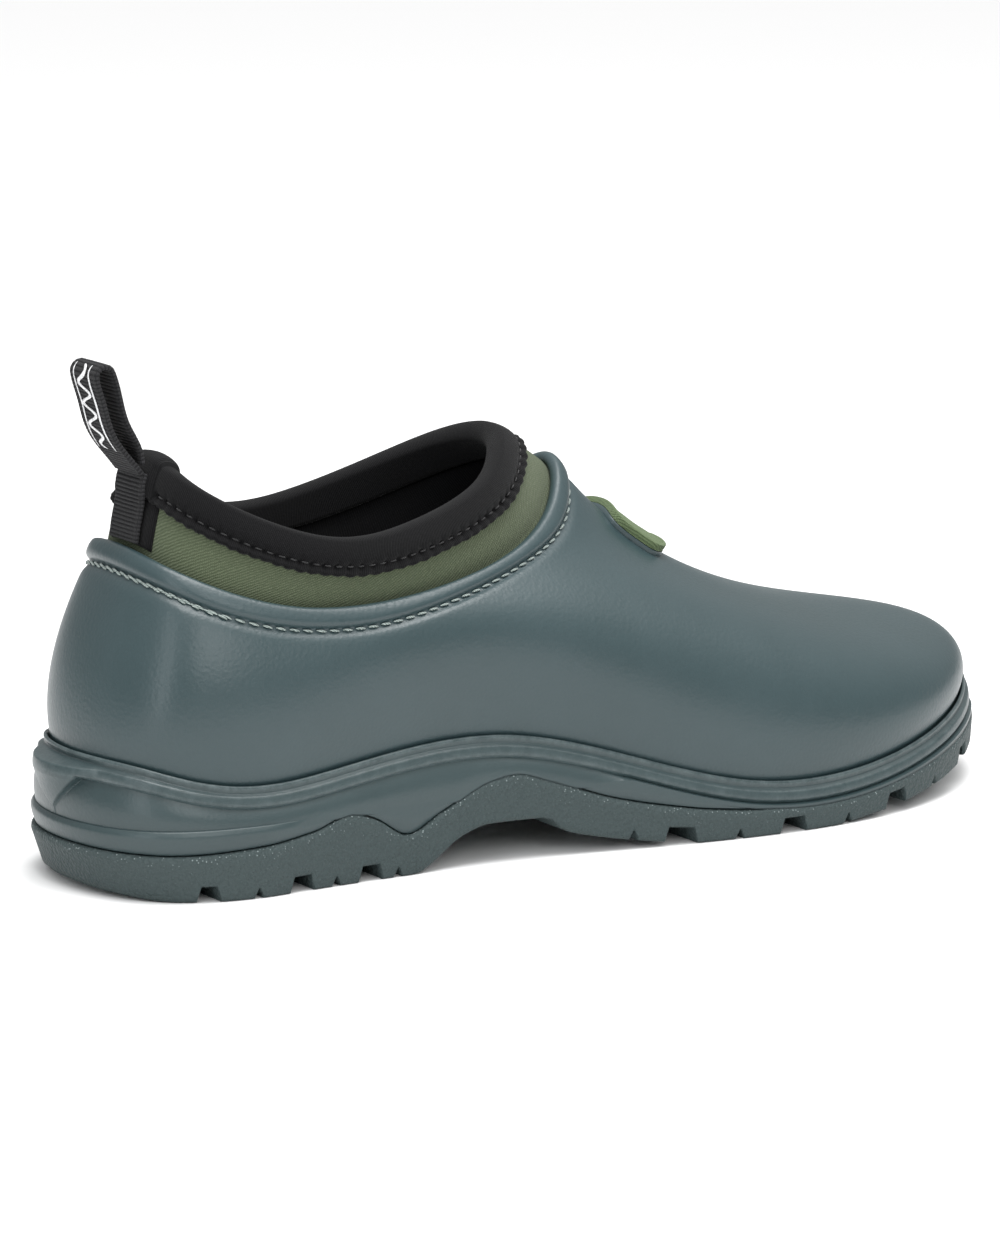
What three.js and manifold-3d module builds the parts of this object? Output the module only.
// Rubber garden clog, right foot: rubber shell, midsole, lugged outsole, neoprene sock with a collar,
// textile lining, insole board, loose footbed, collar binding and a webbing pull loop at the heel.
// Frame in millimetres: origin on the ground under the heel centre, +X to the toe, +Y to the inner
// side of the foot, +Z up.

import * as THREE from "three";
import { mergeVertices } from "three/addons/utils/BufferGeometryUtils.js";
import ManifoldModule from "manifold-3d";

const manifoldLibrary = await ManifoldModule();
manifoldLibrary.setup();

// ---------------------------------------------------------------- driving dimensions
const LENGTH_SCALE = 1.0; // stretches the last lengthwise
const WIDTH_SCALE = 1.0; // stretches the last sideways
const HEEL_CENTRE_FROM_BACK = 40; // heel back to the middle of the heel, where the origin lies
const HALF_STATIONS = 22; // cross sections from heel to toe
const CLEARANCE = 0.3; // gap between layers that are glued or sewn together

const SHELL_THICKNESS = 2.4;
const SOCK_THICKNESS = 2.5;
const LINING_THICKNESS = 0.7;
const MARGIN_THICKNESS = 1.8; // shell turned in under the foot
const MARGIN_WIDTH = 7;
const FOOTBED_THICKNESS = 3.5;
const TOP_CLOTH_THICKNESS = 0.7;
const FOOTBED_EDGE_GAP = 0.6; // loose footbed to the lining around it

const RIM_BAND_HEIGHT = 5.5; // rolled band along the top line of the shell
const RIM_BAND_PROUD = 1.1;
const RIM_GROOVE_WIDTH = 2.2; // sewing groove under the band
const RIM_GROOVE_DEPTH = 0.7;
const THREAD_RADIUS = 0.4;
const THREAD_GAP = 0.25; // thread to the surface it lies on

const BINDING_HEIGHT = 8.4;
const BINDING_THICKNESS = 1.1;

const BINDING_SEAM_BELOW = 6; // line of stitches below the collar's top edge
const SEAM_COVER_WIDTH = 20; // knit strip over the collar's back seam, under the webbing
const SEAM_COVER_THICKNESS = 0.8;
const SEAM_FOOT_LEVEL = 0.13; // lower end of the heel strips on the collar
const COVER_WIDTH = 17; // heel cover over the binding's ends
const COVER_HEIGHT = 4.8;
const COVER_THICKNESS = 0.9;

// Rand along the shell's lower edge, as [distance outside that edge, height above it].
const RAND_RIDGE = [[0.45, -0.7], [1, 0.2], [1.6, -0.4], [1.2, -1.8]]; // upper ridge and its groove
const RAND_LIP = [[2.5, -2.7], [2.7, -4.4], [2.3, -5.6]]; // lower ridge, which the spur carries on
const LIP_SPUR_SHARES = [1, 1, 0.7]; // how much of the spur each point of the lip takes
const RAND_WALL = 3.4; // sole wall outside the shell
const LEDGE_PROUD = 0.9; // lower heel wall outside the upper one
const LEDGE_HEIGHT = 18.5;
const LEDGE_FRONT = 52; // from the heel back
const FLANGE_THICKNESS = 2.2; // outsole edge outside the midsole
const HEEL_FLARE = 2.3; // how much further the sole stands out at the heel back
const FLARE_FRONT = 38; // from the heel back, where the flare has died out
const FLARE_RUN = 28; // over which it dies out
const EDGE_TAPER = 1.2; // outsole edge drawn in towards the ground
const HEEL_TAPER = 2.6; // further drawing in at the heel, for each millimetre of flare
const SPUR_PROUD = 2.4; // kick-off spur at the heel back
const SPUR_HALF_WIDTH = 15;
const LUG_DEPTH = 4;
const SIPE_DEPTH = 2.4;
const SIPE_WIDTH = 1.4;
const SIPE_LENGTH = 13;

const LOOP_WIDTH = 14;
const LOOP_THICKNESS = 1.3;
const LOOP_GAP = 5.5; // between the two legs
const LOOP_KNEE_BACK = 8.6; // the rear leg's bend behind and above its foot
const LOOP_KNEE_RISE = 12;
const LOOP_FOOT_LEVEL = 0.86; // on the collar, 1 at its top edge
const LOOP_HEIGHT = 29.5;
const LOOP_LEAN = 16; // degrees back from upright
const LOOP_CLEARANCE = 0.9; // room for the loop's foot to turn against the collar
const PRINT_THICKNESS = 0.25;
const PRINT_BAND = 2;
const PRINT_BENDS = 10;
const TAPE_THICKNESS = 1.2;
const BADGE_LENGTH = 21;
const BADGE_WIDTH = 30;
const BADGE_THICKNESS = 2.6;
const BADGE_GAP = 0.45;
const BADGE_FOOT_LEVEL = 0.815; // its lower end on the shell, 1 at the top line
const BADGE_NARROWING = 0.25; // share of its width lost towards the collar

// Rings of the last, from the feather line to the top line of the shell. Each lists twelve points
// around the shoe: heel back, outer side forward to the toe tip, inner side back to the heel.
const LAST_RINGS = [
  [[8, 0, 35], [17, -26, 33], [48, -35, 28], [112, -36, 32.5], [180, -47, 14.5], [244, -37, 19],
    [278, 5, 28], [254, 37, 27], [196, 44, 17], [112, 30, 35], [48, 32, 31], [17, 25, 34]],
  [[5, 0, 50], [14, -30, 48], [48, -41, 44], [112, -43, 50], [182, -55, 33], [250, -43, 34],
    [285, 6, 45], [258, 42, 40], [198, 50, 34], [112, 38, 53], [48, 39, 46], [14, 29, 49]],
  [[9, 0, 66], [18, -28, 62], [48, -39, 56], [108, -41, 66], [172, -46, 56], [226, -36, 48],
    [249, 4, 46], [234, 34, 46], [184, 40, 56], [108, 37, 69], [48, 37, 58], [18, 27, 64]],
  [[15, 0, 77], [22, -25, 73], [49, -35, 64], [99, -36.5, 66], [144, -26, 70], [176, -15, 54],
    [186, 2, 48], [178, 16, 55], [148, 25, 70], [99, 34, 68.5], [49, 33, 66], [22, 24, 75]],
  [[19, 0, 85], [25, -21, 80.5], [54, -32, 71], [92, -32, 71.5], [122, -25.5, 78.5], [140, -13.5, 88.5],
    [146.5, 0, 94], [140, 13.5, 90], [122, 24, 81.5], [92, 30, 74], [54, 31, 73], [25, 21, 82]],
];
const COLLAR_RING = [
  [27, 0, 105.5], [33, -19, 99.5], [62, -30, 87.5], [90, -29.5, 88.5], [114, -23, 95], [127, -12, 102],
  [131.5, 0, 104.5], [127, 12, 103], [113, 22.5, 97.5], [90, 29, 90], [62, 29, 88.5], [33, 19, 100],
];
const COLLAR_BULGE = 1;

// Height lines along the sole, as [distance from the heel back, height].
const GROUND_LINE = [[-12, 6], [0, 3.5], [8, 1.2], [18, 0], [84, 0], [90, 3], [97, 8], [106, 10.5],
  [121, 10.5], [127, 6.3], [136, 4], [146, 2.2], [156, 0.8], [166, 0], [202, 0], [216, 1.1],
  [228, 2.4], [241, 4.2], [258, 6.8], [272, 9.2], [292, 12]];
const FLOOR_LINE = [[-5, 14.5], [12, 13.6], [40, 13], [80, 15], [112, 16.5], [140, 13.2], [165, 10],
  [185, 8.8], [205, 8.8], [225, 10.4], [245, 13], [265, 16.3], [290, 20.5]];
const SLAB_LINE = [[-5, 9], [12, 7.2], [40, 6.6], [84, 6.8], [100, 11.5], [112, 13.2], [124, 12.2],
  [140, 9], [165, 6.4], [185, 6], [205, 6.2], [225, 7.8], [245, 10.3], [265, 13.4], [290, 17.5]];
const TEXTURE_LINE = [[-5, 13.5], [20, 12.2], [40, 13], [54, 14.8], [65, 18.2], [72, 16], [82, 10.6],
  [92, 15.5], [106, 22], [113, 23], [122, 20.5], [141, 13.8], [155, 10.7], [168, 8.6], [182, 7.5],
  [199, 8], [215, 9.3], [228, 10.9], [243, 13], [262, 15.8], [290, 20.2]];

// Tread grooves across the sole, as [distance from the heel back at the edge, width].
const TREAD_GROOVES = [[25.5, 5], [51, 6], [71, 6], [158, 8], [190.5, 7], [225.5, 7], [259, 5.5]];
const SIPE_PLACES = [38.5, 61, 79, 145, 174.5, 208, 242];
const GROOVE_SWEEP = 7; // the middle of a groove lies this far ahead of its ends
const GROOVE_MIDDLE = 9; // half width of its middle stretch
const GROOVE_STRAIGHT = 27; // its ends run straight out from this half width

// ---------------------------------------------------------------- curves and rings
function mod(value, count) {
  return ((value % count) + count) % count;
}

// Slopes of a smooth closed spline through evenly spaced points.
function closedSplineSlopes(points) {
  const count = points.length;
  let slopes = points.map(() => [0, 0, 0]);
  for (let pass = 0; pass < 40; pass += 1) {
    slopes = slopes.map((_, i) => {
      const next = points[mod(i + 1, count)];
      const last = points[mod(i - 1, count)];
      return [0, 1, 2].map((k) => {
        const chord = 3 * (next[k] - last[k]);
        return (chord - slopes[mod(i + 1, count)][k] - slopes[mod(i - 1, count)][k]) / 4;
      });
    });
  }
  return slopes;
}

function scaledRing(ring) {
  return ring.map(([x, y, z]) => {
    return [(x - HEEL_CENTRE_FROM_BACK) * LENGTH_SCALE, y * WIDTH_SCALE, z];
  });
}

function closedSpline(ring) {
  const points = scaledRing(ring);
  const slopes = closedSplineSlopes(points);
  return (u) => {
    const place = mod(u, 1) * points.length;
    const i = Math.floor(place) % points.length;
    const j = (i + 1) % points.length;
    const t = place - Math.floor(place);
    const a = 2 * t ** 3 - 3 * t ** 2 + 1;
    const b = t ** 3 - 2 * t ** 2 + t;
    const c = t ** 3 - t ** 2;
    const mix = (k) => a * points[i][k] + b * slopes[i][k] + (1 - a) * points[j][k] + c * slopes[j][k];
    return new THREE.Vector3(mix(0), mix(1), mix(2));
  };
}

const lastCurves = LAST_RINGS.map(closedSpline);
const collarCurve = closedSpline(COLLAR_RING);

// Height of a sole line at a frame x, by a smooth monotone spline through its points.
function heightLine(line) {
  const xs = line.map(([x]) => (x - HEEL_CENTRE_FROM_BACK) * LENGTH_SCALE);
  const zs = line.map(([, z]) => z);
  const steps = xs.slice(1).map((x, i) => (zs[i + 1] - zs[i]) / (x - xs[i]));
  const slopes = zs.map((_, i) => {
    if (i === 0 || i === zs.length - 1) {
      return steps[Math.min(i, steps.length - 1)];
    }
    if (steps[i - 1] * steps[i] <= 0) {
      return 0;
    }
    return (2 * steps[i - 1] * steps[i]) / (steps[i - 1] + steps[i]);
  });
  return (x) => {
    const inside = Math.min(Math.max(x, xs[0]), xs[xs.length - 1]);
    const i = Math.min(xs.findIndex((edge) => inside <= edge) - 1, xs.length - 2);
    const k = Math.max(i, 0);
    const width = xs[k + 1] - xs[k];
    const t = (inside - xs[k]) / width;
    const a = 2 * t ** 3 - 3 * t ** 2 + 1;
    const b = (t ** 3 - 2 * t ** 2 + t) * width;
    const c = (t ** 3 - t ** 2) * width;
    return a * zs[k] + b * slopes[k] + (1 - a) * zs[k + 1] + c * slopes[k + 1];
  };
}

const groundHeight = heightLine(GROUND_LINE);
const floorHeight = heightLine(FLOOR_LINE);
const slabHeight = heightLine(SLAB_LINE);
const textureHeight = heightLine(TEXTURE_LINE);

const BEZIER_WEIGHTS = [1, 4, 6, 4, 1];

// Outer surface of the shell: quartic Bezier across the five rings.
function lastPoint(u, v) {
  const point = new THREE.Vector3();
  lastCurves.forEach((curve, k) => {
    point.addScaledVector(curve(u), BEZIER_WEIGHTS[k] * v ** k * (1 - v) ** (4 - k));
  });
  return point;
}

// Outer surface of the collar above the shell's top line, w = 0 at that line and 1 at the top edge.
function collarPoint(u, w) {
  const foot = lastLayer(u, 1, SHELL_THICKNESS + CLEARANCE);
  const head = collarCurve(u);
  const middle = foot.clone().add(head).multiplyScalar(0.5);
  const away = new THREE.Vector3(middle.x - collarCentre.x, middle.y - collarCentre.y, 0).normalize();
  middle.addScaledVector(away, COLLAR_BULGE);
  return foot
    .multiplyScalar((1 - w) ** 2)
    .addScaledVector(middle, 2 * w * (1 - w))
    .addScaledVector(head, w ** 2);
}

const collarCentre = collarCurve(0).add(collarCurve(0.5)).multiplyScalar(0.5);

// Outward normal of a surface f(u, v) whose u runs outer side first and v runs up.
function outwardNormal(surface, u, v) {
  const step = 1e-4;
  const vLow = Math.max(v - step, 0);
  const vHigh = Math.min(v + step, 1);
  const along = surface(u + step, v).sub(surface(u - step, v));
  const up = surface(u, vHigh).sub(surface(u, vLow));
  return along.cross(up).normalize();
}

function lastLayer(u, v, depth) {
  return lastPoint(u, v).addScaledVector(outwardNormal(lastPoint, u, v), -depth);
}

// A layer of the collar, blended at its foot into the same layer inside the shell.
function collarLayer(u, w, depth) {
  const share = Math.min(w / 0.3, 1);
  const normal = outwardNormal(lastPoint, u, 1).lerp(outwardNormal(collarPoint, u, w), share).normalize();
  return collarPoint(u, w).addScaledVector(normal, SHELL_THICKNESS + CLEARANCE - depth);
}

// Stations around the shoe, paired so that the two sides have the same x on the feather line.
function pairedStations() {
  const feather = lastCurves[0];
  const front = feather(0.5).x;
  const back = feather(0).x;
  const solve = (x, low, high) => {
    let a = low;
    let b = high;
    for (let pass = 0; pass < 40; pass += 1) {
      const middle = (a + b) / 2;
      if (feather(middle).x < x) {
        a = middle;
      } else {
        b = middle;
      }
    }
    return (a + b) / 2;
  };
  const outer = [];
  const inner = [];
  for (let j = 1; j < HALF_STATIONS; j += 1) {
    const x = (front + back) / 2 - ((front - back) / 2) * Math.cos((Math.PI * j) / HALF_STATIONS);
    outer.push(solve(x, 0, 0.5));
    inner.unshift(solve(x, 1, 0.5));
  }
  return [0, ...outer, 0.5, ...inner];
}

const STATIONS = pairedStations();

function ringOf(pointAt) {
  return STATIONS.map((u, i) => pointAt(u, i));
}

// Moves a ring sideways in plan by its own normals: inwards for a positive distance.
function insetRing(ring, distance, height) {
  return ring.map((point, i) => {
    const last = ring[mod(i - 1, ring.length)];
    const next = ring[mod(i + 1, ring.length)];
    const inwards = new THREE.Vector3(last.y - next.y, next.x - last.x, 0).normalize();
    const away = typeof distance === "number" ? distance : distance(point, i);
    const moved = point.clone().addScaledVector(inwards, away);
    if (height) {
      moved.z = height(moved, point, i);
    }
    return moved;
  });
}

// Rings of one layer: from its lowest ring by the floor up to the shell's top line. A layer follows
// the last down to where its corner with the floor starts, then turns in by a quarter circle.
function layerRings(depth, floorAbove, corner, levels, endAt = () => 1) {
  const floorAt = (x) => floorHeight(x) + floorAbove;
  const starts = STATIONS.map((u) => {
    let low = 0;
    let high = 0.5;
    const first = lastLayer(u, 0, depth);
    if (first.z >= floorAt(first.x) + corner) {
      return 0;
    }
    for (let pass = 0; pass < 30; pass += 1) {
      const middle = (low + high) / 2;
      const point = lastLayer(u, middle, depth);
      if (point.z < floorAt(point.x) + corner) {
        low = middle;
      } else {
        high = middle;
      }
    }
    return (low + high) / 2;
  });
  const wall = levels.map((level) => {
    return ringOf((u, i) => lastLayer(u, starts[i] + (endAt(u) - starts[i]) * level, depth));
  });
  return [...cornerRings(wall[0], floorAt, corner), ...wall];
}

// Quarter circle from a floor to a ring above it, floor ring first.
function cornerRings(ring, floorAt, corner) {
  const turn = 1 - Math.SQRT1_2;
  const lean = (point) => 0.12 * Math.max(point.z - floorAt(point.x) - corner, 0);
  const raised = (height) => (moved) => floorAt(moved.x) + height;
  const low = insetRing(ring, (p) => lean(p) + corner, raised(0));
  const bend = insetRing(ring, (p) => lean(p) + turn * corner, raised(turn * corner));
  const foot = insetRing(ring, lean, raised(corner));
  const kept = foot.map((point, i) => (point.z > ring[i].z - 0.2 ? midway(bend[i], ring[i]) : point));
  return [low, bend, kept];
}

function midway(a, b) {
  return a.clone().lerp(b, 0.75);
}

// ---------------------------------------------------------------- solids from rings
function geometryFrom(points, triangles) {
  const geometry = new THREE.BufferGeometry();
  const positions = points.flatMap((point) => [point.x, point.y, point.z]);
  geometry.setAttribute("position", new THREE.Float32BufferAttribute(positions, 3));
  geometry.setIndex(triangles);
  geometry.computeVertexNormals();
  return geometry;
}

function meanHeight(ring) {
  return ring.reduce((sum, point) => sum + point.z, 0) / ring.length;
}

// Closed skin through rings with the same number of points. Rings run outer side first; the skin
// faces outwards when the list runs downwards on the outside. Each four-sided cell is split along the
// diagonal that rises towards the next station, so facing skins of two layers stay parallel. Either
// the last ring joins the first, or strips across the shoe close the two end rings.
function skin(rings, joinEnds) {
  const count = rings[0].length;
  const triangles = [];
  const bands = joinEnds ? rings.length : rings.length - 1;
  for (let r = 0; r < bands; r += 1) {
    const next = mod(r + 1, rings.length);
    const first = r * count;
    const second = next * count;
    const falls = meanHeight(rings[r]) >= meanHeight(rings[next]);
    for (let i = 0; i < count; i += 1) {
      const j = (i + 1) % count;
      if (falls) {
        triangles.push(first + i, second + i, first + j, first + j, second + i, second + j);
      } else {
        triangles.push(first + i, second + i, second + j, first + i, second + j, first + j);
      }
    }
  }
  if (!joinEnds) {
    const cap = (start, flip) => {
      const half = count / 2;
      const add = (a, b, c) => triangles.push(start + a, start + (flip ? c : b), start + (flip ? b : c));
      add(0, 1, count - 1);
      for (let k = 1; k < half - 1; k += 1) {
        add(k, k + 1, count - k);
        add(k + 1, count - k - 1, count - k);
      }
      add(half - 1, half, half + 1);
    };
    cap(0, false);
    cap((rings.length - 1) * count, true);
  }
  return geometryFrom(rings.flat(), triangles);
}

// Plate of even thickness inside an outline ring, lying on a height line.
function plate(outline, bottomAt, topAt) {
  const lay = (heightAt) => outline.map((p) => new THREE.Vector3(p.x, p.y, heightAt(p.x)));
  return skin([lay(topAt), lay(bottomAt)], false);
}

function toManifold(geometry) {
  const plain = geometry.clone();
  plain.deleteAttribute("normal");
  plain.deleteAttribute("uv");
  const merged = mergeVertices(plain, 1e-5);
  return new manifoldLibrary.Manifold(
    new manifoldLibrary.Mesh({
      numProp: 3,
      vertProperties: new Float32Array(merged.attributes.position.array),
      triVerts: new Uint32Array(merged.index.array),
    }),
  );
}

function fromManifold(solid) {
  const mesh = solid.getMesh();
  const geometry = new THREE.BufferGeometry();
  geometry.setAttribute("position", new THREE.BufferAttribute(new Float32Array(mesh.vertProperties), 3));
  geometry.setIndex(Array.from(mesh.triVerts));
  geometry.computeVertexNormals();
  return geometry;
}

// Prism from a plan outline, between two heights.
function planPrism(points, bottom, top) {
  const shape = new THREE.Shape(points.map(([x, y]) => new THREE.Vector2(x, y)));
  const geometry = new THREE.ExtrudeGeometry(shape, { depth: top - bottom, bevelEnabled: false });
  geometry.translate(0, 0, bottom);
  return geometry;
}

// Strip of even width along a path in the middle plane of the shoe, given as [x, z] pairs.
function webbing(path, width, thickness) {
  const side = (sign) => path.map(([x, z], i) => {
    const [ax, az] = path[Math.max(i - 1, 0)];
    const [bx, bz] = path[Math.min(i + 1, path.length - 1)];
    const off = (sign * thickness) / (2 * Math.hypot(bx - ax, bz - az));
    return new THREE.Vector2(x + (bz - az) * off, z - (bx - ax) * off);
  });
  const shape = new THREE.Shape([...side(1), ...side(-1).reverse()]);
  const geometry = new THREE.ExtrudeGeometry(shape, { depth: width, bevelEnabled: false });
  geometry.rotateX(Math.PI / 2);
  geometry.translate(0, width / 2, 0);
  return geometry;
}

// Block on a surface: a grid of points at a lower and an upper height off it, closed by a wall between
// their edges.
function patch(rows, columns, surfaceAt, bottom, top) {
  const points = [];
  const triangles = [];
  [bottom, top].forEach((height) => {
    for (let r = 0; r <= rows; r += 1) {
      for (let c = 0; c <= columns; c += 1) {
        points.push(surfaceAt(r / rows, c / columns, height));
      }
    }
  });
  const layer = (rows + 1) * (columns + 1);
  const at = (k, r, c) => k * layer + r * (columns + 1) + c;
  for (let r = 0; r < rows; r += 1) {
    for (let c = 0; c < columns; c += 1) {
      triangles.push(at(0, r, c), at(0, r + 1, c + 1), at(0, r, c + 1));
      triangles.push(at(0, r, c), at(0, r + 1, c), at(0, r + 1, c + 1));
      triangles.push(at(1, r, c), at(1, r, c + 1), at(1, r + 1, c + 1));
      triangles.push(at(1, r, c), at(1, r + 1, c + 1), at(1, r + 1, c));
    }
  }
  const edge = [];
  for (let c = 0; c < columns; c += 1) {
    edge.push([0, c]);
  }
  for (let r = 0; r < rows; r += 1) {
    edge.push([r, columns]);
  }
  for (let c = columns; c > 0; c -= 1) {
    edge.push([rows, c]);
  }
  for (let r = rows; r > 0; r -= 1) {
    edge.push([r, 0]);
  }
  edge.forEach(([r, c], i) => {
    const [nr, nc] = edge[(i + 1) % edge.length];
    triangles.push(at(0, r, c), at(0, nr, nc), at(1, nr, nc));
    triangles.push(at(0, r, c), at(1, nr, nc), at(1, r, c));
  });
  return geometryFrom(points, triangles);
}

// ---------------------------------------------------------------- materials
function rubber(color, roughness) {
  return new THREE.MeshStandardMaterial({ color, roughness, metalness: 0 });
}

const shellRubber = () => rubber(0x4b5a5c, 0.38);
const midsoleRubber = () => rubber(0x435052, 0.42);
const outsoleRubber = () => rubber(0x40494a, 0.75);
const greenNeoprene = () => rubber(0x5c6650, 0.92);
const blackTextile = () => rubber(0x17181a, 0.95);
const blackWebbing = () => rubber(0x242427, 0.88);
const paleThread = () => rubber(0x8f9b95, 0.8);
const whitePrint = () => rubber(0xd8dadb, 0.7);
const greyFoam = () => rubber(0x4a4c4e, 0.95);
const boardFibre = () => rubber(0x8d8672, 0.95);

// ---------------------------------------------------------------- upper
const SHELL_LEVELS = [0, 0.1, 0.22, 0.35, 0.49, 0.63, 0.76, 0.88];
const INNER_LEVELS = [0, 0.13, 0.28, 0.44, 0.6, 0.76, 0.9, 1];
const LINING_LEVELS = [0, 0.16, 0.34, 0.52, 0.7, 0.86, 1];
const COLLAR_LEVELS = [0.5, 1];

// Level on the last at a stated distance below the shell's top line.
function levelBelowRim(u, below) {
  const reach = lastPoint(u, 1).distanceTo(lastPoint(u, 0.9)) / 0.1;
  return 1 - below / reach;
}

// A ring a stated distance below the shell's top line and a stated height off its surface.
function rimRing(below, proud) {
  return ringOf((u) => lastLayer(u, levelBelowRim(u, below), -proud));
}

const GROOVE_TOP = RIM_BAND_HEIGHT + 0.5;
const GROOVE_BOTTOM = GROOVE_TOP + RIM_GROOVE_WIDTH;
const GROOVE_END = GROOVE_BOTTOM + 1;

// Outside of the shell, top line first: rolled band, sewing groove, wall, turn under the foot.
function shellOutside() {
  const outer = layerRings(0, CLEARANCE, 4.2, SHELL_LEVELS, (u) => levelBelowRim(u, GROOVE_END));
  const rim = [
    rimRing(0, -SHELL_THICKNESS * 0.5),
    rimRing(0, RIM_BAND_PROUD * 0.5),
    rimRing(1.2, RIM_BAND_PROUD),
    rimRing(RIM_BAND_HEIGHT - 0.8, RIM_BAND_PROUD),
    rimRing(RIM_BAND_HEIGHT, 0),
    rimRing(GROOVE_TOP, -RIM_GROOVE_DEPTH),
    rimRing(GROOVE_BOTTOM, -RIM_GROOVE_DEPTH),
    rimRing(GROOVE_END, 0),
  ];
  return [...rim, ...outer.reverse()];
}

// Rubber shell, open at the top and turned in under the foot.
function upperShell() {
  const outside = shellOutside();
  const lowest = outside[outside.length - 1];
  const marginOuter = insetRing(lowest, MARGIN_WIDTH, (p) => floorHeight(p.x) + CLEARANCE);
  const inner = layerRings(SHELL_THICKNESS, CLEARANCE + MARGIN_THICKNESS, 3.2, INNER_LEVELS);
  const marginInner = marginOuter.map((p) => new THREE.Vector3(p.x, p.y, p.z + MARGIN_THICKNESS));
  return skin([...outside, marginOuter, marginInner, ...inner], true);
}

// Fibre board that the shell's margin meets edge to edge.
function marginEdge() {
  const outer = layerRings(0, CLEARANCE, 4.2, [0])[0];
  return insetRing(outer, MARGIN_WIDTH + CLEARANCE);
}

function insoleBoard() {
  const bottomAt = (x) => floorHeight(x) + CLEARANCE;
  return plate(marginEdge(), bottomAt, (x) => bottomAt(x) + MARGIN_THICKNESS);
}

const SOCK_FLOOR = 2 * CLEARANCE + MARGIN_THICKNESS;
const SOCK_DEPTH = SHELL_THICKNESS + CLEARANCE;
const LINING_FLOOR = SOCK_FLOOR + SOCK_THICKNESS + CLEARANCE;
const LINING_DEPTH = SOCK_DEPTH + SOCK_THICKNESS + CLEARANCE;
const INSIDE_FLOOR = LINING_FLOOR + LINING_THICKNESS;
const INSIDE_DEPTH = LINING_DEPTH + LINING_THICKNESS;

// Rings of a layer from its floor ring up the foot and on up the collar.
function bootieRings(depth, floorAbove, corner, levels) {
  const collar = COLLAR_LEVELS.map((w) => ringOf((u) => collarLayer(u, w, depth)));
  return [...layerRings(depth, floorAbove, corner, levels), ...collar];
}

// Neoprene bootie, closed under the foot; its top is the collar.
function neopreneSock() {
  const outer = bootieRings(SOCK_DEPTH, SOCK_FLOOR, 3, INNER_LEVELS).reverse();
  const inner = bootieRings(SOCK_DEPTH + SOCK_THICKNESS, SOCK_FLOOR + SOCK_THICKNESS, 2.6, LINING_LEVELS);
  return skin([...inner, ...outer], false);
}

// Knitted lining bonded inside the neoprene.
function sockLining() {
  const outer = bootieRings(LINING_DEPTH, LINING_FLOOR, 2.5, LINING_LEVELS).reverse();
  const inner = bootieRings(INSIDE_DEPTH, INSIDE_FLOOR, 2.4, LINING_LEVELS);
  return skin([...inner, ...outer], false);
}

// Outline of the loose footbed: just inside the lining's corner with its floor.
function footbedOutline() {
  const floorRing = layerRings(INSIDE_DEPTH, INSIDE_FLOOR, 2.4, [0])[0];
  return insetRing(floorRing, FOOTBED_EDGE_GAP);
}

const FOOTBED_BOTTOM = INSIDE_FLOOR + CLEARANCE;
const CLOTH_BOTTOM = FOOTBED_BOTTOM + FOOTBED_THICKNESS + CLEARANCE;

function footbedFoam() {
  const bottomAt = (x) => floorHeight(x) + FOOTBED_BOTTOM;
  return plate(footbedOutline(), bottomAt, (x) => bottomAt(x) + FOOTBED_THICKNESS);
}

function footbedCloth() {
  const bottomAt = (x) => floorHeight(x) + CLOTH_BOTTOM;
  return plate(footbedOutline(), bottomAt, (x) => bottomAt(x) + TOP_CLOTH_THICKNESS);
}

// Point on the collar by its distance below the top edge, its layer depth and its height above.
function collarEdgePoint(u, below, depth, above) {
  const up = collarPoint(u, 1).sub(collarPoint(u, 0.9)).normalize();
  return collarLayer(u, collarLevelBelow(u, below), depth).addScaledVector(up, above);
}

function collarLevelBelow(u, below) {
  const reach = collarPoint(u, 0).distanceTo(collarPoint(u, 1));
  return Math.max(1 - below / reach, 0.02);
}

// Folded binding over the top edge of the collar, sewn through near its lower edge.
function collarBinding() {
  const outerFace = SOCK_DEPTH - CLEARANCE;
  const innerFace = INSIDE_DEPTH + CLEARANCE;
  const middle = (outerFace + innerFace) / 2;
  const at = (below, depth, above) => ringOf((u) => collarEdgePoint(u, below, depth, above));
  const b = BINDING_THICKNESS;
  return skin([
    at(0, middle, CLEARANCE + b + 0.9),
    at(0, outerFace - b * 0.3, CLEARANCE + b * 0.6),
    at(1.5, outerFace - b, 0),
    at(BINDING_HEIGHT - 0.8, outerFace - b, 0),
    at(BINDING_HEIGHT, outerFace - b * 0.5, 0),
    at(BINDING_HEIGHT, outerFace, 0),
    at(0, outerFace, CLEARANCE),
    at(0, innerFace, CLEARANCE),
    at(BINDING_HEIGHT, innerFace, 0),
    at(BINDING_HEIGHT, innerFace + b, 0),
    at(1.5, innerFace + b, 0),
    at(0, innerFace + b * 0.3, CLEARANCE + b * 0.6),
  ], true);
}

// Sewing thread lying in a closed ring, as a square-section cord.
function threadRing(centreAt) {
  const r = THREAD_RADIUS;
  const corners = [[0, r], [r, 0], [0, -r], [-r, 0]];
  return skin(corners.map(([out, up]) => ringOf((u) => centreAt(u, out, up))), true);
}

function rimStitchThread() {
  const below = (GROOVE_TOP + GROOVE_BOTTOM) / 2;
  const lift = THREAD_RADIUS + THREAD_GAP - RIM_GROOVE_DEPTH;
  return threadRing((u, out, up) => {
    return lastLayer(u, levelBelowRim(u, below - up), -(lift + out));
  });
}

// Black sewing thread through the binding, lying on its outer face near the lower edge.
function bindingStitchThread() {
  const off = SOCK_DEPTH - CLEARANCE - BINDING_THICKNESS - THREAD_RADIUS - THREAD_GAP;
  return threadRing((u, out, up) => {
    return collarLayer(u, collarLevelBelow(u, BINDING_SEAM_BELOW - up), off - out);
  });
}

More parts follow.
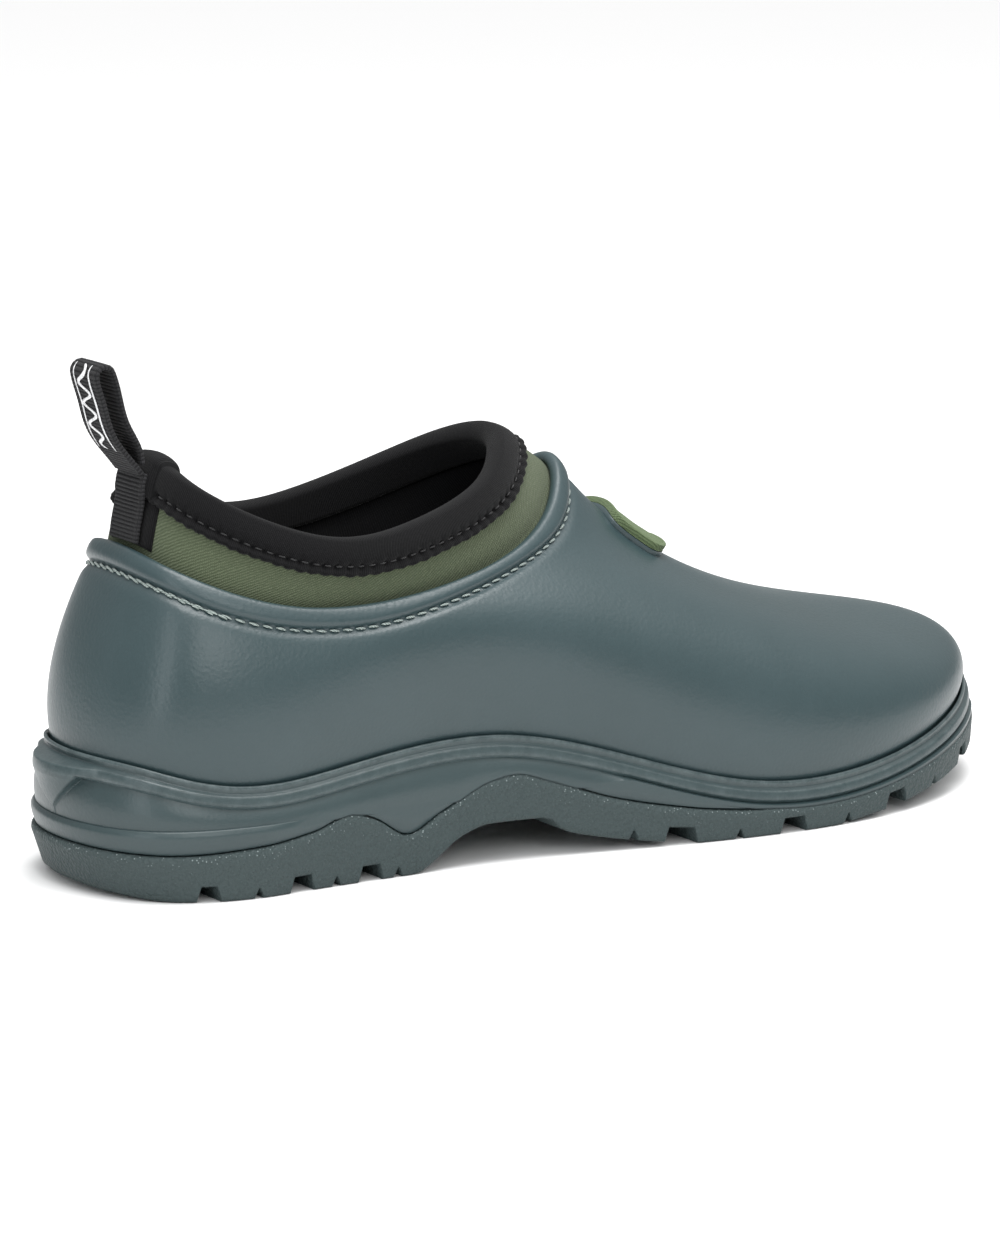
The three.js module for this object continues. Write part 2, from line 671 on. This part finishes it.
// Short folded piece over the ends of the binding at the heel, as one bent strip.
function bindingHeelCover() {
  const outerFace = SOCK_DEPTH - CLEARANCE - BINDING_THICKNESS - CLEARANCE;
  const innerFace = INSIDE_DEPTH + CLEARANCE + BINDING_THICKNESS + CLEARANCE;
  const middle = (outerFace + innerFace) / 2;
  const top = CLEARANCE + BINDING_THICKNESS + 0.9 + CLEARANCE;
  const t = COVER_THICKNESS;
  const profile = [
    [COVER_HEIGHT, outerFace - t, 0], [1.5, outerFace - t, 0], [0, outerFace - t * 0.5, top * 0.7 + t * 0.5],
    [0, middle, top + t], [0, innerFace + t * 0.5, top * 0.7 + t * 0.5], [1.5, innerFace + t, 0],
    [COVER_HEIGHT, innerFace + t, 0], [COVER_HEIGHT, innerFace, 0], [1.5, innerFace, 0],
    [0, innerFace - t * 0.2, top * 0.7], [0, middle, top], [0, outerFace + t * 0.2, top * 0.7],
    [1.5, outerFace, 0], [COVER_HEIGHT, outerFace, 0],
  ];
  const loops = heelShares(COVER_WIDTH).map((u) => {
    return profile.map(([below, depth, above]) => collarEdgePoint(u, below, depth, above));
  });
  return skin(loops, false);
}

// Places around the collar's back, evenly over a width.
function heelShares(width) {
  const spread = collarCurve(0.01).distanceTo(collarCurve(-0.01)) / 0.02;
  return [-1, -0.6, -0.2, 0.2, 0.6, 1].map((share) => (share * width) / 2 / spread);
}

// Knit strip over the collar's back seam, from inside the shell's band up to the binding.
function backSeamCover() {
  const top = collarLevelBelow(0, BINDING_HEIGHT + 2 * CLEARANCE);
  const levels = [SEAM_FOOT_LEVEL, (SEAM_FOOT_LEVEL + top) / 2, top];
  const face = SOCK_DEPTH - CLEARANCE;
  const loops = heelShares(SEAM_COVER_WIDTH).map((u) => [
    ...levels.map((w) => collarLayer(u, w, face - SEAM_COVER_THICKNESS)),
    ...levels.map((w) => collarLayer(u, w, face)).reverse(),
  ]);
  return skin(loops, false);
}

// Raised badge on the instep ridge. The shell, raised by the clearance, is cut out of its underside.
function instepBadge() {
  const centre = lastPoint(0.5, BADGE_FOOT_LEVEL);
  const reach = lastPoint(0.5, BADGE_FOOT_LEVEL + 0.1).distanceTo(centre) / 0.1;
  const spread = lastPoint(0.52, BADGE_FOOT_LEVEL).distanceTo(centre) / 0.02;
  const block = patch(5, 6, (r, c, height) => {
    const v = BADGE_FOOT_LEVEL + (r * BADGE_LENGTH) / reach;
    const narrow = 1 - BADGE_NARROWING * r;
    const u = 0.5 + ((c - 0.5) * BADGE_WIDTH * narrow) / spread;
    return lastLayer(u, v, -height);
  }, -SHELL_THICKNESS / 2, BADGE_THICKNESS);
  const lift = outwardNormal(lastPoint, 0.5, BADGE_FOOT_LEVEL + 0.1).multiplyScalar(BADGE_GAP);
  const seat = toManifold(skin(shellOutside(), false)).translate([lift.x, lift.y, lift.z]);
  return fromManifold(toManifold(block).subtract(seat));
}

// ---------------------------------------------------------------- sole
// How far the lower heel wall stands outside the upper one, dying out at the ledge's front end.
function heelLedge(p) {
  const fade = (LEDGE_FRONT - HEEL_CENTRE_FROM_BACK - p.x) / 10;
  return LEDGE_PROUD * Math.min(Math.max(fade, 0), 1);
}

// How far the sole flares out around the heel back.
function heelFlare(p) {
  const front = (FLARE_FRONT - HEEL_CENTRE_FROM_BACK) * LENGTH_SCALE;
  const share = Math.min(Math.max((front - p.x) / FLARE_RUN, 0), 1);
  return HEEL_FLARE * share * share * (3 - 2 * share);
}

function soleWallOut(p) {
  return RAND_WALL + heelLedge(p) + heelFlare(p);
}

// Midsole: a cup around the shell's lower edge with two rand ridges, a heel ledge and a spur.
function midsole() {
  const joint = ringOf((u) => lastPoint(u, 0));
  const cupFloor = (x) => floorHeight(x);
  const cupInner = cornerRings(insetRing(joint, -CLEARANCE), cupFloor, 4.3).reverse();
  const cupFloorRing = cupInner.pop();
  const spurAt = (p) => {
    const behind = p.x < -HEEL_CENTRE_FROM_BACK * 0.4 * LENGTH_SCALE;
    return behind ? SPUR_PROUD * Math.max(1 - (p.y / SPUR_HALF_WIDTH) ** 2, 0) : 0;
  };
  const wallTop = (p) => p.z + RAND_LIP[2][1];
  const below = (p) => Math.min(textureHeight(p.x) + CLEARANCE / 2, wallTop(p) - 0.6);
  const step = (p) => Math.min(Math.max(LEDGE_HEIGHT, below(p) + 0.5), wallTop(p) - 0.25);
  const ring = (out, heightAt) => insetRing(joint, (p) => -out(p), (moved, p) => heightAt(p));
  const lipOut = (out, i) => (p) => out + heelFlare(p) + spurAt(p) * LIP_SPUR_SHARES[i];
  const outer = [
    ...RAND_RIDGE.map(([out, up]) => ring(() => out, (p) => p.z + up)),
    ...RAND_LIP.map(([out, up], i) => ring(lipOut(out, i), (p) => p.z + up)),
    ring((p) => RAND_WALL + heelFlare(p), step),
    ring(soleWallOut, (p) => step(p) - 0.2),
    ring(soleWallOut, below),
  ];
  const edge = outer[outer.length - 1];
  const plugTop = insetRing(edge, FLANGE_THICKNESS + CLEARANCE, (moved, p) => p.z);
  const plugBottom = plugTop.map((p) => new THREE.Vector3(p.x, p.y, slabHeight(p.x) + CLEARANCE));
  return skin([cupFloorRing, ...cupInner.reverse(), ...outer, plugTop, plugBottom], false);
}

// Outsole: a slab with an upstanding edge around the midsole, cut by the ground line and the tread.
function outsole() {
  const joint = ringOf((u) => lastPoint(u, 0));
  const top = (p) => Math.min(textureHeight(p.x) + CLEARANCE / 2, p.z - 6.2) - CLEARANCE;
  const outerTop = insetRing(joint, (p) => -soleWallOut(p), (moved, p) => top(p));
  const innerTop = insetRing(outerTop, FLANGE_THICKNESS, (moved, p) => p.z);
  const innerFoot = innerTop.map((p) => new THREE.Vector3(p.x, p.y, slabHeight(p.x)));
  const shoulder = insetRing(outerTop, -0.2, (moved, p) => p.z - 1.5);
  const lowest = insetRing(outerTop, (p, i) => EDGE_TAPER + HEEL_TAPER * heelFlare(joint[i]), () => -8);
  let body = toManifold(skin([innerFoot, innerTop, outerTop, shoulder, lowest], false));
  body = body.subtract(toManifold(groundCutter()));
  treadCutters().forEach((cutter) => {
    body = body.subtract(toManifold(cutter));
  });
  return fromManifold(body);
}

const SOLE_HALF_WIDTH = 90;

// Everything below the ground line, as one block across the sole.
function groundCutter() {
  const xs = [];
  GROUND_LINE.forEach(([x], i) => {
    xs.push(x);
    if (i + 1 < GROUND_LINE.length && groundBends(i)) {
      xs.push((x + GROUND_LINE[i + 1][0]) / 2);
    }
  });
  const path = xs.map((x) => {
    const along = (x - HEEL_CENTRE_FROM_BACK) * LENGTH_SCALE;
    return new THREE.Vector2(along, groundHeight(along));
  });
  const deep = -20;
  const shape = new THREE.Shape([
    new THREE.Vector2(path[0].x, deep),
    new THREE.Vector2(path[path.length - 1].x, deep),
    ...path.reverse(),
  ]);
  const geometry = new THREE.ExtrudeGeometry(shape, { depth: 2 * SOLE_HALF_WIDTH, bevelEnabled: false });
  geometry.rotateX(Math.PI / 2);
  geometry.translate(0, SOLE_HALF_WIDTH, 0);
  return geometry;
}

function groundBends(i) {
  return GROUND_LINE[i][1] !== GROUND_LINE[i + 1][1];
}

function treadCutters() {
  const along = (x) => (x - HEEL_CENTRE_FROM_BACK) * LENGTH_SCALE;
  const groove = (x, width) => {
    const [a, b] = [along(x) - width / 2, along(x) + width / 2];
    const w = SOLE_HALF_WIDTH;
    const [m, n] = [GROOVE_MIDDLE, GROOVE_STRAIGHT];
    const ahead = (x) => x + GROOVE_SWEEP;
    const outline = [[a, -w], [b, -w], [b, -n], [ahead(b), -m], [ahead(b), m], [b, n],
      [b, w], [a, w], [a, n], [ahead(a), m], [ahead(a), -m], [a, -n]];
    return planPrism(outline, -15, groundHeight(along(x)) + LUG_DEPTH);
  };
  const sipe = (x, side) => {
    const edgeY = side * soleHalfWidthAt(along(x), side);
    const [y0, y1] = [edgeY - side * SIPE_LENGTH, edgeY + side * 12];
    const [a, b] = [along(x) - SIPE_WIDTH / 2, along(x) + SIPE_WIDTH / 2];
    const [low, high] = [Math.min(y0, y1), Math.max(y0, y1)];
    const outline = [[a, low], [b, low], [b, high], [a, high]];
    return planPrism(outline, -15, groundHeight(along(x)) + SIPE_DEPTH);
  };
  return [
    ...TREAD_GROOVES.map(([x, width]) => groove(x, width)),
    ...SIPE_PLACES.map((x) => sipe(x, -1)),
    ...SIPE_PLACES.map((x) => sipe(x, 1)),
  ];
}

// Half width of the feather line at a frame x, on the outer (-1) or inner (1) side.
function soleHalfWidthAt(x, side) {
  const ring = ringOf((u) => lastPoint(u, 0)).filter((p) => p.y * side > 0);
  const nearest = ring.reduce((best, p) => (Math.abs(p.x - x) < Math.abs(best.x - x) ? p : best));
  return Math.abs(nearest.y);
}

// ---------------------------------------------------------------- heel webbing
// Middle line of the collar's back, from the top edge down to inside the shell's rim.
function collarBack(w, off) {
  const point = collarLayer(0, w, SOCK_DEPTH - off);
  return [point.x, point.z];
}

const BINDING_FACE = CLEARANCE + BINDING_THICKNESS;
const LOOP_OFF = BINDING_FACE + CLEARANCE + COVER_THICKNESS + LOOP_CLEARANCE + LOOP_THICKNESS / 2;

// Webbing tail sewn down the back of the collar, over the binding and down to the shell's rim.
function backSeamTape() {
  const overSeam = BINDING_FACE + 2 * THREAD_RADIUS + THREAD_GAP + CLEARANCE;
  const overCover = SEAM_COVER_THICKNESS + CLEARANCE;
  const bindingFoot = collarLevelBelow(0, BINDING_HEIGHT + 2 * CLEARANCE);
  const seam = collarLevelBelow(0, BINDING_SEAM_BELOW + 1.5);
  const bends = [[SEAM_FOOT_LEVEL, overCover], [(SEAM_FOOT_LEVEL + bindingFoot) / 2, overCover],
    [bindingFoot - 0.08, overCover], [bindingFoot - 0.02, BINDING_FACE], [seam, overSeam],
    [LOOP_FOOT_LEVEL - 0.06, overSeam]];
  const clear = TAPE_THICKNESS / 2 + CLEARANCE;
  return webbing(bends.map(([w, lift]) => collarBack(w, clear + lift)), LOOP_WIDTH, TAPE_THICKNESS);
}

// Middle line of the folded webbing loop, as [x, z]: the rear leg leaves its foot at the collar, runs
// up leaning back, turns over at the top and comes down as the front leg beside the foot.
function loopPath() {
  const [footX, footZ] = collarBack(LOOP_FOOT_LEVEL, LOOP_OFF);
  const lean = THREE.MathUtils.degToRad(LOOP_LEAN);
  const pitch = LOOP_GAP + LOOP_THICKNESS;
  const radius = pitch / 2;
  const kneeX = -LOOP_KNEE_BACK;
  const rise = (LOOP_HEIGHT - LOOP_KNEE_RISE - radius) / Math.cos(lean);
  const leg = (along, across) => [
    kneeX - Math.sin(lean) * along + Math.cos(lean) * across,
    LOOP_KNEE_RISE + Math.cos(lean) * along + Math.sin(lean) * across,
  ];
  const turns = [0, 1, 2, 3, 4, 5, 6].map((k) => (Math.PI * k) / 6);
  const path = [
    [0, 0],
    [kneeX * 0.3, LOOP_KNEE_RISE * 0.27],
    [kneeX * 0.74, LOOP_KNEE_RISE * 0.66],
    leg(0, 0),
    ...turns.map((a) => leg(rise + radius * Math.sin(a), radius - radius * Math.cos(a))),
    leg(0, pitch),
    [-0.3, LOOP_KNEE_RISE * 0.45],
    [0.15, LOOP_THICKNESS + 1.15],
  ];
  return path.map(([x, z]) => [footX + x, footZ + z]);
}

function pullLoop() {
  return webbing(loopPath(), LOOP_WIDTH, LOOP_THICKNESS);
}

// Printed mark on the back of the loop: a plain wavy band of ink.
function loopPrint() {
  const path = loopPath();
  const [low, high] = [path[3], path[4]];
  const rise = new THREE.Vector3(high[0] - low[0], 0, high[1] - low[1]);
  const run = rise.length();
  rise.normalize();
  const out = new THREE.Vector3(-rise.z, 0, rise.x);
  const side = (sign) => Array.from({ length: PRINT_BENDS + 1 }, (_, k) => {
    const along = 1 + ((run - 2) * k) / PRINT_BENDS;
    return new THREE.Vector2(along, (k % 2 ? 1.6 : -1.6) + (sign * PRINT_BAND) / 2);
  });
  const shape = new THREE.Shape([...side(-1), ...side(1).reverse()]);
  const geometry = new THREE.ExtrudeGeometry(shape, { depth: PRINT_THICKNESS, bevelEnabled: false });
  const across = new THREE.Vector3(0, 1, 0);
  const frame = new THREE.Matrix4().makeBasis(rise, across, rise.clone().cross(across));
  const facing = rise.clone().cross(across).dot(out);
  const offset = LOOP_THICKNESS / 2 + 0.1 + (facing < 0 ? PRINT_THICKNESS : 0);
  geometry.applyMatrix4(frame);
  geometry.translate(low[0] + out.x * offset, 0, low[1] + out.z * offset);
  return geometry;
}

export default (() => {
  const shoe = new THREE.Group();
  const add = (name, geometry, material) => {
    const mesh = new THREE.Mesh(geometry, material);
    mesh.name = name;
    shoe.add(mesh);
  };
  add("upper_shell", upperShell(), shellRubber());
  add("midsole", midsole(), midsoleRubber());
  add("outsole", outsole(), outsoleRubber());
  add("insole_board", insoleBoard(), boardFibre());
  add("neoprene_sock", neopreneSock(), greenNeoprene());
  add("sock_lining", sockLining(), blackTextile());
  add("footbed_foam", footbedFoam(), greyFoam());
  add("footbed_cloth", footbedCloth(), blackTextile());
  add("collar_binding", collarBinding(), blackWebbing());
  add("binding_heel_cover", bindingHeelCover(), blackTextile());
  add("binding_stitch_thread", bindingStitchThread(), blackTextile());
  add("rim_stitch_thread", rimStitchThread(), paleThread());
  add("instep_badge", instepBadge(), greenNeoprene());
  add("back_seam_cover", backSeamCover(), blackTextile());
  add("back_seam_tape", backSeamTape(), blackWebbing());
  add("pull_loop", pullLoop(), blackWebbing());
  add("loop_print", loopPrint(), whitePrint());
  return shoe;
})();
